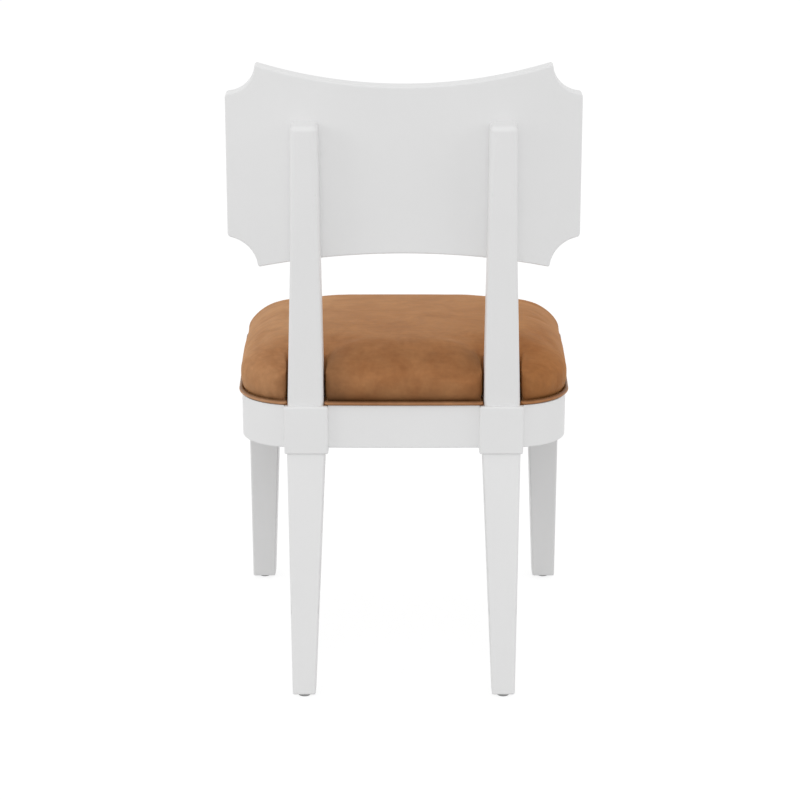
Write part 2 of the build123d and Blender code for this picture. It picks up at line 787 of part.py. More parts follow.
pieces = {
    "rear_leg_left": rear_leg_left.part,
    "rear_leg_right": rear_leg_right,
    "front_leg_left": front_leg_left.part,
    "front_leg_right": front_leg_right,
    "rear_rail": rear_rail.part,
    "front_rail": front_rail.part,
    "side_rail_left": side_rail_left.part,
    "side_rail_right": side_rail_right,
    "corner_block_front_left": corner_block_front_left.part,
    "corner_block_front_right": corner_block_front_right,
    "corner_block_rear_left": corner_block_rear_left.part,
    "corner_block_rear_right": corner_block_rear_right,
    "corner_block_screws": corner_block_screws.part,
    "rail_dowels": rail_dowels,
    "back_panel": drilled_panel.part,
    "back_dowels": back_dowels,
    "seat_board": seat_board.part,
    "seat_foam": seat_foam.part,
    "seat_cover": seat_cover.part,
    "welt": welt.part,
    "welt_cord": welt_cord.part,
    "dust_cover": dust_cover.part,
    "cover_staples": cover_staples,
    "seat_bolts": seat_bolts.part,
    "seat_washers": seat_washers.part,
    "seat_tee_nuts": seat_tee_nuts.part,
    "glide_nails": glide_nails.part,
}
for corner, spot in foot_spots.items():
    pieces[f"glide_{corner}"] = glide(spot)

os.makedirs("parts", exist_ok=True)
for name, piece in pieces.items():
    piece.label = name
    export_step(piece, f"parts/{name}.step")
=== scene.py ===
import json
import math

import bpy
import numpy as np
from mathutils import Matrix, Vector


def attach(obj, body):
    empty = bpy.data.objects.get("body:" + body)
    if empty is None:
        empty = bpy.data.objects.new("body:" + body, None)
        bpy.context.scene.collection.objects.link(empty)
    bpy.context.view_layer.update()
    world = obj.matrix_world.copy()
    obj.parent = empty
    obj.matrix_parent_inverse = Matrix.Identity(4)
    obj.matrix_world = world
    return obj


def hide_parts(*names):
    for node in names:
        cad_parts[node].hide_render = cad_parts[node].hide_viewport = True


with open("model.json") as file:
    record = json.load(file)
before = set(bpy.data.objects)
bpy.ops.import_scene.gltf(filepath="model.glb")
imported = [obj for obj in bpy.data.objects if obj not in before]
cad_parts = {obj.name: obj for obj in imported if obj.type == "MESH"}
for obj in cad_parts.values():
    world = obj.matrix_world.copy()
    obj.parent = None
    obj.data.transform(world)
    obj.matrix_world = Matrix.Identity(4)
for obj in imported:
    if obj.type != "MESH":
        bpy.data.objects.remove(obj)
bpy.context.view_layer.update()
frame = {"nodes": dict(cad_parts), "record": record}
nodes = frame["nodes"]
scene = bpy.context.scene
MM = 0.001


def linear(hex_colour):
    """sRGB hex colour as linear RGBA."""
    channels = [int(hex_colour[i:i + 2], 16) / 255 for i in (1, 3, 5)]
    return [c / 12.92 if c <= 0.04045 else ((c + 0.055) / 1.055) ** 2.4 for c in channels] + [1.0]


def add_node(tree, kind, inputs=None, **settings):
    """Adds a shader node with its settings; each input is a value or another node's output."""
    node = tree.nodes.new(kind)
    for name, value in settings.items():
        setattr(node, name, value)
    for name, value in (inputs or {}).items():
        if isinstance(value, bpy.types.NodeSocket):
            tree.links.new(value, node.inputs[name])
        else:
            node.inputs[name].default_value = value
    return node


# Places of a colour Mix node's sockets, because its float sockets have the same names
MIX_A = 6
MIX_B = 7
MIX_RESULT = 2


def mixed_colour(tree, share, first, second):
    """A colour between two others: all of the first at a share of 0, all of the second at 1."""
    mix = add_node(tree, "ShaderNodeMix", {0: share, MIX_A: first, MIX_B: second}, data_type="RGBA")
    return mix.outputs[MIX_RESULT]


def seen_directly(tree):
    """1 for rays that show a surface, straight, mirrored or through glass; 0 for rays that carry light."""
    path = add_node(tree, "ShaderNodeLightPath")
    seen = path.outputs["Is Camera Ray"]
    for ray in ("Is Glossy Ray", "Is Transmission Ray"):
        either = {0: seen, 1: path.outputs[ray]}
        seen = add_node(tree, "ShaderNodeMath", either, operation="MAXIMUM").outputs[0]
    return seen


def new_material(name):
    """A node material with no nodes yet."""
    material = bpy.data.materials.new(name)
    material.use_nodes = True
    material.node_tree.nodes.clear()
    return material


# Seat plan in millimetres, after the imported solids
RAIL_TOP = 414.0
REAR_Y = 192.8
FRONT_Y = -251.0
HALF_REAR = 228.0
HALF_FRONT = 245.0
REAR_BOW = 5.0
FRONT_BOW = 6.0
REAR_CORNER = 76.0
FRONT_CORNER = 60.0
POST_INNER = 111.6
POST_OUTER = 162.2
POST_FRONT = 147.3
NOTCH_GAP = 3.6
NOTCH_CORNER = 4.0
CUSHION_INSET = 2.4
SLOT_LIP = 7.0
WELT_RADIUS = 3.2
WELT_OUT = 1.3
WELT_HEIGHT = 3.7

# Camera: behind the chair, looking down on the seat
EYE = Vector((0.0, 2.8678, 1.1933))
PITCH_DOWN = 0.2806
LENS_MM = 90
SENSOR_MM = 36
FRAME_SHIFT = -0.00475

camera_data = bpy.data.cameras.new("camera")
camera_data.lens = LENS_MM
camera_data.sensor_width = SENSOR_MM
camera_data.shift_x = FRAME_SHIFT
camera = bpy.data.objects.new("camera", camera_data)
camera.location = EYE
camera.rotation_euler = (math.pi / 2 - PITCH_DOWN, 0, math.pi)
scene.collection.objects.link(camera)
scene.camera = camera

# Soft studio light: an even white room, a large soft lamp above the camera and one at each side of the chair
ROOM_LIGHT = 0.76
scene.view_settings.view_transform = "Standard"
world = bpy.data.worlds.new("white_studio")
scene.world = world
world.use_nodes = True
tree = world.node_tree
tree.nodes.clear()
room = add_node(tree, "ShaderNodeBackground", {"Color": linear("#FFFFFF"), "Strength": ROOM_LIGHT})
backdrop = add_node(tree, "ShaderNodeBackground", {"Color": linear("#FFFFFF"), "Strength": 1.0})
both = add_node(tree, "ShaderNodeMixShader", {
    0: seen_directly(tree), 1: room.outputs[0], 2: backdrop.outputs[0],
})
add_node(tree, "ShaderNodeOutputWorld", {"Surface": both.outputs[0]})

LAMP_SIZE = 2.0
SEAT_MIDDLE = Vector((0.0, 0.0, 0.5))


def soft_lamp(name, place, watts):
    """A square area lamp that looks at the seat."""
    data = bpy.data.lights.new(name, "AREA")
    data.size = LAMP_SIZE
    data.energy = watts
    lamp = bpy.data.objects.new(name, data)
    lamp.location = place
    lamp.rotation_euler = (SEAT_MIDDLE - Vector(place)).to_track_quat("-Z", "Y").to_euler()
    scene.collection.objects.link(lamp)


soft_lamp("rear_lamp", place=(0.1, 3.6, 2.2), watts=16.5)
soft_lamp("left_lamp", place=(4.5, 1.8, 2.2), watts=28)
soft_lamp("right_lamp", place=(-4.5, 1.8, 2.2), watts=20)

# Floor: white paper that keeps the chair's soft shadow and looks like the backdrop elsewhere
FLOOR_HALF = 20.0
FLOOR_GLOW = 0.86
FLOOR_SHADOW = 0.22
floor_mesh = bpy.data.meshes.new("floor")
floor_corners = [(x * FLOOR_HALF, y * FLOOR_HALF, 0) for x, y in ((-1, -1), (1, -1), (1, 1), (-1, 1))]
floor_mesh.from_pydata(floor_corners, [], [(0, 1, 2, 3)])
floor = bpy.data.objects.new("floor", floor_mesh)
scene.collection.objects.link(floor)

paper = new_material("white_paper")
tree = paper.node_tree
lit = add_node(tree, "ShaderNodeBsdfDiffuse", {"Color": linear("#D8D8D8")})
glow = add_node(tree, "ShaderNodeEmission", {"Color": linear("#FFFFFF"), "Strength": FLOOR_GLOW})
shade = add_node(tree, "ShaderNodeBsdfDiffuse", {"Color": (FLOOR_SHADOW, FLOOR_SHADOW, FLOOR_SHADOW, 1)})
bright = add_node(tree, "ShaderNodeAddShader", {0: glow.outputs[0], 1: shade.outputs[0]})
mixed = add_node(tree, "ShaderNodeMixShader", {
    0: seen_directly(tree), 1: lit.outputs[0], 2: bright.outputs[0],
})
add_node(tree, "ShaderNodeOutputMaterial", {"Surface": mixed.outputs[0]})
floor_mesh.materials.append(paper)


def object_coords(tree):
    """Coordinates in metres, fixed to the piece."""
    return add_node(tree, "ShaderNodeTexCoord").outputs["Object"]


def finish_material(tree, inputs):
    """A principled shader with these inputs, wired to the output."""
    shader = add_node(tree, "ShaderNodeBsdfPrincipled", inputs)
    add_node(tree, "ShaderNodeOutputMaterial", {"Surface": shader.outputs["BSDF"]})


# Satin lacquer sprayed over hardwood: even white, a soft sheen, faint orange peel and a trace of open grain
white_lacquer = new_material("white_lacquer")
tree = white_lacquer.node_tree
coords = object_coords(tree)
ORANGE_PEEL_MM = 2.4
CLOUD_MM = 120
GRAIN_WIDTH_MM = 1.6
GRAIN_LENGTH_MM = 70
cloud = add_node(tree, "ShaderNodeTexNoise", {"Vector": coords, "Scale": 1 / (CLOUD_MM * MM), "Detail": 2})
tone = mixed_colour(tree, cloud.outputs["Fac"], linear("#ECECEC"), linear("#F0F0F0"))
peel = add_node(tree, "ShaderNodeTexNoise", {
    "Vector": coords, "Scale": 1 / (ORANGE_PEEL_MM * MM), "Detail": 1,
})
along = add_node(tree, "ShaderNodeMapping", {
    "Vector": coords,
    "Scale": (1 / (GRAIN_WIDTH_MM * MM), 1 / (GRAIN_WIDTH_MM * MM), 1 / (GRAIN_LENGTH_MM * MM)),
})
grain = add_node(tree, "ShaderNodeTexNoise", {"Vector": along.outputs["Vector"], "Scale": 1.0, "Detail": 2})
peel_bump = add_node(tree, "ShaderNodeBump", {
    "Height": peel.outputs["Fac"], "Strength": 0.25, "Distance": 0.05 * MM,
})
grain_bump = add_node(tree, "ShaderNodeBump", {
    "Height": grain.outputs["Fac"], "Strength": 0.2, "Distance": 0.04 * MM,
    "Normal": peel_bump.outputs["Normal"],
})
sheen = add_node(tree, "ShaderNodeMapRange", {"Value": peel.outputs["Fac"], "To Min": 0.36, "To Max": 0.46})
finish_material(tree, {
    "Base Color": tone, "Roughness": sheen.outputs["Result"], "IOR": 1.5,
    "Normal": grain_bump.outputs["Normal"],
})

# Leather: sizes of its markings, half widths of its painted side light, and its tone left in full painted
# shade
PATCH_MM = 60
MOTTLE_MM = 11
CREASE_LENGTH_MM = 55
CREASE_WIDTH_MM = 5
PEBBLE_MM = 2.2
SIDE_LIGHT_START_MM = 60
SIDE_LIGHT_FULL_MM = 190
DEEPEST_PAINTED_SHADE = 0.4


def pull_up_leather(name, painted_shade_of, specular, smoothest, roughest):
    """Waxed tan hide with cloudy patches, fine creases, a soft sheen, painted light towards +X and painted
    shade where its shade map nears 1.
    """
    material = new_material(name)
    tree = material.node_tree
    coords = object_coords(tree)
    patches = add_node(tree, "ShaderNodeTexNoise", {
        "Vector": coords, "Scale": 1 / (PATCH_MM * MM), "Detail": 3, "Roughness": 0.6, "Distortion": 0.6,
    })
    patch_tone = add_node(tree, "ShaderNodeMapRange", {
        "Value": patches.outputs["Fac"], "From Min": 0.3, "From Max": 0.7,
    })
    hide = mixed_colour(tree, patch_tone.outputs["Result"], linear("#9F6F49"), linear("#B4855D"))
    mottle = add_node(tree, "ShaderNodeTexNoise", {
        "Vector": coords, "Scale": 1 / (MOTTLE_MM * MM), "Detail": 4, "Roughness": 0.65,
    })
    mottle_tone = add_node(tree, "ShaderNodeMapRange", {
        "Value": mottle.outputs["Fac"], "From Min": 0.25, "From Max": 0.75, "To Min": 1.03, "To Max": 1.27,
    })
    mottled = add_node(tree, "ShaderNodeVectorMath", {
        0: hide, "Scale": mottle_tone.outputs["Result"],
    }, operation="SCALE")
    across = add_node(tree, "ShaderNodeMapping", {
        "Vector": coords,
        "Scale": (1 / (CREASE_LENGTH_MM * MM), 1 / (CREASE_WIDTH_MM * MM), 1 / (CREASE_LENGTH_MM * MM)),
    })
    creases = add_node(tree, "ShaderNodeTexNoise", {
        "Vector": across.outputs["Vector"], "Scale": 1.0, "Detail": 3, "Roughness": 0.6, "Distortion": 0.4,
    })
    crease_tone = add_node(tree, "ShaderNodeMapRange", {
        "Value": creases.outputs["Fac"], "From Min": 0.3, "From Max": 0.7, "To Min": 0.95, "To Max": 1.05,
    })
    creased = add_node(tree, "ShaderNodeVectorMath", {
        0: mottled.outputs["Vector"], "Scale": crease_tone.outputs["Result"],
    }, operation="SCALE")
    # Painted light and shade: the hide is paler towards +X, where the stronger side lamp falls, darker and
    # yellower towards -X
    across_hide = add_node(tree, "ShaderNodeSeparateXYZ", {"Vector": coords}).outputs["X"]
    to_right = add_node(tree, "ShaderNodeMapRange", {
        "Value": across_hide, "From Min": -SIDE_LIGHT_START_MM * MM, "From Max": -SIDE_LIGHT_FULL_MM * MM,
    })
    to_left = add_node(tree, "ShaderNodeMapRange", {
        "Value": across_hide, "From Min": SIDE_LIGHT_START_MM * MM, "From Max": SIDE_LIGHT_FULL_MM * MM,
    })
    painted_right_shade = mixed_colour(tree, to_right.outputs["Result"], linear("#EADFD0"), linear("#E9D7BA"))
    painted_side_light = mixed_colour(tree, to_left.outputs["Result"], painted_right_shade, linear("#FFFFFF"))
    side_lit_hide = add_node(tree, "ShaderNodeVectorMath", {
        0: creased.outputs["Vector"], 1: painted_side_light,
    }, operation="MULTIPLY")
    # Painted shade: darker where the given shade map nears 1
    painted_shade_tone = add_node(tree, "ShaderNodeMapRange", {
        "Value": painted_shade_of(tree), "To Min": 1.0, "To Max": DEEPEST_PAINTED_SHADE,
    })
    with_painted_shade = add_node(tree, "ShaderNodeVectorMath", {
        0: side_lit_hide.outputs["Vector"], "Scale": painted_shade_tone.outputs["Result"],
    }, operation="SCALE")
    pebble = add_node(tree, "ShaderNodeTexVoronoi", {"Vector": coords, "Scale": 1 / (PEBBLE_MM * MM)})
    crease_bump = add_node(tree, "ShaderNodeBump", {
        "Height": creases.outputs["Fac"], "Strength": 0.5, "Distance": 0.6 * MM,
    })
    pebble_bump = add_node(tree, "ShaderNodeBump", {
        "Height": pebble.outputs["Distance"], "Strength": 0.35, "Distance": 0.25 * MM,
        "Normal": crease_bump.outputs["Normal"],
    })
    sheen = add_node(tree, "ShaderNodeMapRange", {
        "Value": mottle.outputs["Fac"], "To Min": smoothest, "To Max": roughest,
    })
    finish_material(tree, {
        "Base Color": with_painted_shade.outputs["Vector"], "Roughness": sheen.outputs["Result"], "IOR": 1.45,
        "Specular IOR Level": specular, "Sheen Weight": 0.42, "Sheen Roughness": 0.4,
        "Sheen Tint": linear("#D9A05E"),
        "Normal": pebble_bump.outputs["Normal"],
    })
    return material


def cushion_painted_shade(tree):
    """Painted shade on the cushion's leather, from 0 to 1, as set on its points."""
    return add_node(tree, "ShaderNodeAttribute", attribute_name="painted_shade").outputs["Fac"]


# Shares of the welt's radius, away from its middle line, between which painted shade darkens it towards its
# seams
WELT_PALE = 0.2
WELT_DARK = 0.9


def welt_painted_shade(tree):
    """Painted shade on the welt, by how near a point lies to the seams above and below; its paler middle is a
    painted highlight.
    """
    height = add_node(tree, "ShaderNodeSeparateXYZ", {"Vector": object_coords(tree)}).outputs["Z"]
    middle = (RAIL_TOP + WELT_HEIGHT) * MM
    above = add_node(tree, "ShaderNodeMath", {0: height, 1: middle}, operation="SUBTRACT")
    away = add_node(tree, "ShaderNodeMath", {0: above.outputs[0]}, operation="ABSOLUTE")
    near_seam = add_node(tree, "ShaderNodeMapRange", {
        "Value": away.outputs[0],
        "From Min": WELT_PALE * WELT_RADIUS * MM,
        "From Max": WELT_DARK * WELT_RADIUS * MM,
    })
    return near_seam.outputs["Result"]


# Tan pull-up leather of the seat: matte, with painted shade at its seams, beside the posts and below its rear
# ridge
tan_leather = pull_up_leather("tan_leather", cushion_painted_shade, specular=0.15, smoothest=0.52, roughest=0.68)

# The same leather drawn tight over the cord of the welt: smoother, so it catches the light along its top;
# painted shade darkens its edges
welt_leather = pull_up_leather("tan_leather_welt", welt_painted_shade, specular=0.4, smoothest=0.36, roughest=0.48)

# Planed beech: pale brown with short dark flecks
raw_beech = new_material("raw_beech")
tree = raw_beech.node_tree
coords = object_coords(tree)
FLECK_WIDTH_MM = 1.2
FLECK_LENGTH_MM = 14
stretched = add_node(tree, "ShaderNodeMapping", {
    "Vector": coords,
    "Scale": (1 / (FLECK_LENGTH_MM * MM), 1 / (FLECK_WIDTH_MM * MM), 1 / (FLECK_WIDTH_MM * MM)),
})
flecks = add_node(tree, "ShaderNodeTexNoise", {
    "Vector": stretched.outputs["Vector"], "Scale": 1.0, "Detail": 4,
})
beech = mixed_colour(tree, flecks.outputs["Fac"], linear("#B98A5E"), linear("#D9B48A"))
fleck_bump = add_node(tree, "ShaderNodeBump", {
    "Height": flecks.outputs["Fac"], "Strength": 0.3, "Distance": 0.1 * MM,
})
finish_material(tree, {"Base Color": beech, "Roughness": 0.62, "Normal": fleck_bump.outputs["Normal"]})

# Birch plywood: pale sanded face, with the dark and light plies of its edge stacked in height
birch_plywood = new_material("birch_plywood")
tree = birch_plywood.node_tree
coords = object_coords(tree)
PLY_MM = 1.5
FIGURE_MM = 9
plies = add_node(tree, "ShaderNodeTexWave", {
    "Vector": coords, "Scale": 1 / (PLY_MM * MM * math.tau), "Distortion": 0.6, "Detail": 1,
}, wave_type="BANDS", bands_direction="Z")
figure = add_node(tree, "ShaderNodeTexNoise", {"Vector": coords, "Scale": 1 / (FIGURE_MM * MM), "Detail": 4})
birch = mixed_colour(tree, figure.outputs["Fac"], linear("#C9A67C"), linear("#E0C59F"))
edge = mixed_colour(tree, plies.outputs["Fac"], birch, linear("#A98459"))
finish_material(tree, {"Base Color": edge, "Roughness": 0.6})

# Zinc-plated steel: bluish grey metal with a cloudy plated sheen
zinc_steel = new_material("zinc_steel")
tree = zinc_steel.node_tree
coords = object_coords(tree)
SPANGLE_MM = 1.5
spangle = add_node(tree, "ShaderNodeTexNoise", {
    "Vector": coords, "Scale": 1 / (SPANGLE_MM * MM), "Detail": 2,
})
plating = add_node(tree, "ShaderNodeMapRange", {
    "Value": spangle.outputs["Fac"], "To Min": 0.28, "To Max": 0.44,
})
zinc = mixed_colour(tree, spangle.outputs["Fac"], linear("#B4B7BC"), linear("#CDCFD2"))
finish_material(tree, {"Base Color": zinc, "Metallic": 1.0, "Roughness": plating.outputs["Result"]})

# Moulded grey plastic: matte, with a fine spark-eroded texture
grey_plastic = new_material("grey_plastic")
tree = grey_plastic.node_tree
coords = object_coords(tree)
TEXTURE_MM = 0.6
texture = add_node(tree, "ShaderNodeTexNoise", {
    "Vector": coords, "Scale": 1 / (TEXTURE_MM * MM), "Detail": 1,
})
moulded = mixed_colour(tree, texture.outputs["Fac"], linear("#9C9C9C"), linear("#A8A8A8"))
texture_bump = add_node(tree, "ShaderNodeBump", {
    "Height": texture.outputs["Fac"], "Strength": 0.3, "Distance": 0.05 * MM,
})
finish_material(tree, {"Base Color": moulded, "Roughness": 0.55, "Normal": texture_bump.outputs["Normal"]})

# Black cambric: thin non-woven cloth with matted fibres and a dotted press mark
black_cambric = new_material("black_cambric")
tree = black_cambric.node_tree
coords = object_coords(tree)
FIBRE_MM = 1.8
PRESS_MM = 2.5
fibres = add_node(tree, "ShaderNodeTexNoise", {
    "Vector": coords, "Scale": 1 / (FIBRE_MM * MM), "Detail": 5, "Roughness": 0.7, "Distortion": 1.2,
})
press = add_node(tree, "ShaderNodeTexVoronoi", {
    "Vector": coords, "Scale": 1 / (PRESS_MM * MM), "Randomness": 0.0,
})
cambric = mixed_colour(tree, fibres.outputs["Fac"], linear("#151516"), linear("#2C2C2E"))
fibre_bump = add_node(tree, "ShaderNodeBump", {
    "Height": fibres.outputs["Fac"], "Strength": 0.5, "Distance": 0.2 * MM,
})
press_bump = add_node(tree, "ShaderNodeBump", {
    "Height": press.outputs["Distance"], "Strength": 0.4, "Distance": 0.2 * MM,
    "Normal": fibre_bump.outputs["Normal"],
})
finish_material(tree, {"Base Color": cambric, "Roughness": 0.9, "Normal": press_bump.outputs["Normal"]})

finishes = {
    "white_lacquer": white_lacquer,
    "tan_leather": tan_leather,
    "raw_beech": raw_beech,
    "birch_plywood": birch_plywood,
    "zinc_steel": zinc_steel,
    "grey_plastic": grey_plastic,
    "black_cambric": black_cambric,
}
for subpart in frame["record"]["subparts"]:
    finish = finishes.get(subpart["material_slot"])
    if finish:
        piece = nodes[subpart["node"]]
        piece.data.materials.clear()
        piece.data.materials.append(finish)


def rounded_corner(a, b, radius):
    """Distance to the corner that two edges make, rounded by a radius; negative inside."""
    corner = np.hypot(np.maximum(a + radius, 0), np.maximum(b + radius, 0)) - radius
    return np.where((a > -radius) & (b > -radius), corner, np.maximum(a, b))


def seat_plan(x, y):
    """Distance from the outer face of the seat frame in plan; negative inside."""
    rear_y = REAR_Y - REAR_BOW
    front_y = FRONT_Y + FRONT_BOW
    slope = (HALF_FRONT - HALF_REAR) / (rear_y - front_y)
    side = (np.abs(x) - HALF_REAR - slope * (rear_y - y)) / math.hypot(1, slope)
    rear = y - REAR_Y + REAR_BOW * (x / HALF_REAR) ** 2
    front = FRONT_Y - y + FRONT_BOW * (x / HALF_FRONT) ** 2
    rear_corners = rounded_corner(side, rear, REAR_CORNER)
    front_corners = rounded_corner(side, front, FRONT_CORNER)
    return np.maximum(rear_corners, front_corners)


def post_slots(x, y):
    """Distance from the slots that the posts rise through; negative inside a slot."""
    middle = (POST_INNER + POST_OUTER) / 2
    half = (POST_OUTER - POST_INNER) / 2 + NOTCH_GAP
    beside = np.abs(np.abs(x) - middle) - half
    before = POST_FRONT - NOTCH_GAP - y
    return rounded_corner(beside, before, NOTCH_CORNER)


def cushion_plan(x, y):
    """Distance from the edge of the cushion in plan, slots included; negative inside."""
    return rounded_corner(seat_plan(x, y) + CUSHION_INSET, -post_slots(x, y), SLOT_LIP)


# Added to divisors that can be zero
TINY_DEPTH = 1e-6
TINY_SLOPE = 1e-9

# Millimetres to each side of a point, over which a slope is taken
SLOPE_STEP = 0.5


def cushion_depth(x, y):
    """How deep a point lies inside the cushion's edges in plan, smooth where two edges are equally near."""
    from_edge = np.maximum(-seat_plan(x, y) - CUSHION_INSET, 0)
    from_slot = np.maximum(post_slots(x, y), 0)
    return from_edge * from_slot / (np.hypot(from_edge, from_slot) + TINY_DEPTH)


def slope_of(plan, x, y):
    """Unit direction in which a plan distance grows."""
    along_x = plan(x + SLOPE_STEP, y) - plan(x - SLOPE_STEP, y)
    along_y = plan(x, y + SLOPE_STEP) - plan(x, y - SLOPE_STEP)
    length = np.hypot(along_x, along_y) + TINY_SLOPE
    return along_x / length, along_y / length


# Rectangle that holds the seat in plan, in millimetres
SHEET_HALF = 270
SHEET_FRONT = -270
SHEET_BACK = 230

# Room that a square mesh leaves at its rim, in steps, and how often the rim is moved to the plan's edge
RIM_ROOM = 0.4
RIM_MOVES = 4


def cut_sheet(plan, step):
    """Square mesh cut to a plan, its rim moved onto the plan's edge: points, faces and the rim's sides."""
    columns = np.arange(-SHEET_HALF, SHEET_HALF + step, step)
    rows = np.arange(SHEET_FRONT, SHEET_BACK + step, step)
    grid_x, grid_y = np.meshgrid(columns, rows)
    inside = plan(grid_x, grid_y) < -RIM_ROOM * step
    whole = inside[:-1, :-1] & inside[1:, :-1] & inside[:-1, 1:] & inside[1:, 1:]
    used = np.zeros(grid_x.shape, bool)
    for across, up in ((0, 0), (1, 0), (0, 1), (1, 1)):
        used[up:used.shape[0] - 1 + up, across:used.shape[1] - 1 + across] |= whole
    number = np.full(grid_x.shape, -1)
    number[used] = np.arange(used.sum())
    points = np.stack([grid_x[used], grid_y[used]], 1)
    faces = []
    sides = set()
    for row, column in zip(*np.nonzero(whole)):
        lower = number[row, column:column + 2]
        upper = number[row + 1, column:column + 2]
        face = (lower[0], lower[1], upper[1], upper[0])
        faces.append(face)
        sides.update(zip(face, face[1:] + face[:1]))
    open_sides = sorted(side for side in sides if side[::-1] not in sides)
    corners = sorted({corner for side in open_sides for corner in side})
    rim_of = {corner: len(points) + place for place, corner in enumerate(corners)}
    rim = points[corners]
    for move in range(RIM_MOVES):
        away = plan(rim[:, 0], rim[:, 1])
        out_x, out_y = slope_of(plan, rim[:, 0], rim[:, 1])
        rim = rim - np.stack([out_x * away, out_y * away], 1)
    loop = [(rim_of[start], rim_of[end]) for start, end in open_sides]
    faces += [(start, rim_of[start], rim_of[end], end) for start, end in open_sides]
    return np.concatenate([points, rim]), faces, loop


def blend(low, high, value):
    """Smooth step from 0 at low to 1 at high."""
    share = np.clip((value - low) / (high - low), 0, 1)
    return share * share * (3 - 2 * share)


# Cushion: a slab cut to the plan, rolled over at its edges and crowned, then swelled by simulation
GRID = 5.0
WALL_ROWS = 10
CROWN_HEIGHT = 79.0
CROWN_Y = 56.0
CROSS_DROP = 9.0
CROSS_HALF = 230.0
CROWN_RADIUS_Y = 2300.0
CORNER_DROP = 1.2
ROLL_IN = 50.0
ROLL_DOWN = 40.0
FRONT_ROLL_IN = 9.0
FRONT_ROLL_DOWN = 8.0
CORNER_ROLL_IN = 6.0
REAR_ROLL_IN = -3.0
REAR_ROLL_DOWN = 6.0
SLOT_ROLL_IN = 30.0
SLOT_ROLL_DOWN = 22.0
TURN_STRETCH = 1.15
WALL_BULGE = 6.2
CORNER_BULGE = 0.4
SEAM_TUCK = 7.0
SEAM_HEIGHT = 24.0
SEAM_LIFT = 0.6
RIDGE_SHARE = 0.45

# Where each change over the cushion begins and where it is complete, in millimetres
FRONT_SPAN = (30, -200)
FRONT_CORNER_SPAN = (-60, -200)
LOBE_SPAN = (100, 170)
CORNER_SPAN = (120, 225)
SLOT_SPAN = (-24, 24)
FLAP_SPAN_Y = (110, 150)
FLAP_SPAN_X = (125, 95)
FLATTEN_SPAN = (0, 90)
SWELL_SPAN = (100, 0)
TUCK_SPAN = (40, 0)


def cushion_crown(x, y):
    """Height of the crowned top above the rails, before its edges roll over."""
    in_lobe = blend(*FRONT_SPAN, y) * blend(*LOBE_SPAN, np.abs(x))
    across = CROSS_DROP * (x / CROSS_HALF) ** 4 + CORNER_DROP * in_lobe
    return CROWN_HEIGHT - across - (y - CROWN_Y) ** 2 / (2 * CROWN_RADIUS_Y)


def near_slot(x, y):
    """1 where a post's slot is the nearest edge, 0 where it is the outer edge."""
    return blend(*SLOT_SPAN, -seat_plan(x, y) - CUSHION_INSET - post_slots(x, y))


def between_posts(x, y):
    """1 on the flap of leather between the posts, 0 elsewhere."""
    return blend(*FLAP_SPAN_Y, y) * blend(*FLAP_SPAN_X, np.abs(x))


def edge_roll(x, y):
    """How far the leather rolls inwards and downwards at the nearest edge."""
    to_front = blend(*FRONT_SPAN, y)
    in_corner = to_front * blend(*CORNER_SPAN, np.abs(x))
    behind = between_posts(x, y)
    roll_in = ROLL_IN + FRONT_ROLL_IN * to_front + CORNER_ROLL_IN * in_corner + REAR_ROLL_IN * behind
    roll_down = ROLL_DOWN + FRONT_ROLL_DOWN * to_front + REAR_ROLL_DOWN * behind
    by_slot = near_slot(x, y)
    return roll_in + (SLOT_ROLL_IN - roll_in) * by_slot, roll_down + (SLOT_ROLL_DOWN - roll_down) * by_slot


def cushion_form(x, y, level):
    """Places of the slab's points on the padded form; level is 1 on the top sheet and 0 on the bottom one."""
    depth = cushion_depth(x, y)
    in_x, in_y = slope_of(cushion_depth, x, y)
    roll_in, roll_down = edge_roll(x, y)
    shoulder = cushion_crown(x, y) - roll_down
    turn_width = TURN_STRETCH * roll_in
    share = np.clip(depth / turn_width, 0, 1)
    turn = share * math.pi / 2
    straight = RIDGE_SHARE * between_posts(x, y)
    inwards = straight * share + (1 - straight) * (1 - np.cos(turn))
    upwards = straight * share + (1 - straight) * np.sin(turn)
    beyond = np.maximum(depth - turn_width, 0)
    rolled = roll_in * inwards + beyond + (turn_width - roll_in) * blend(*FLATTEN_SPAN, beyond)
    on_top = level == 1
    wall_height = SEAM_LIFT + level * (shoulder - SEAM_LIFT)
    height = np.where(on_top, shoulder + roll_down * upwards, wall_height)
    slack = 1 - near_slot(x, y)
    drawn = (1 - np.clip(height / SEAM_HEIGHT, 0, 1)) ** 2
    front_corner = blend(*FRONT_CORNER_SPAN, y) * blend(*CORNER_SPAN, np.abs(x))
    swell = WALL_BULGE * (1 + CORNER_BULGE * front_corner) * slack * blend(*SWELL_SPAN, depth)
    out = swell - (swell + SEAM_TUCK * slack * blend(*TUCK_SPAN, depth)) * drawn
    out += np.where(on_top, depth - rolled, 0)
    return np.column_stack([x - in_x * out, y - in_y * out, RAIL_TOP + height])


# Painted shade: how strong each is, then where it begins and where it is complete, in millimetres
SEAM_SHADE = 0.62
PLAIN_SEAM = 0.5
PINCH_SHADE = 0.45
RIDGE_SHADE = 0.12
SEAM_SPAN = (45, 2)
BESIDE_POST_SPAN = (45, 6)
LEFT_PINCH_SPAN = (72, 60)
RIGHT_PINCH_SPAN = (38, 56)
PINCH_SPAN = (52, 38)
RIDGE_TOP_SPAN = (52, 42)
RIDGE_FOOT_SPAN = (10, 36)


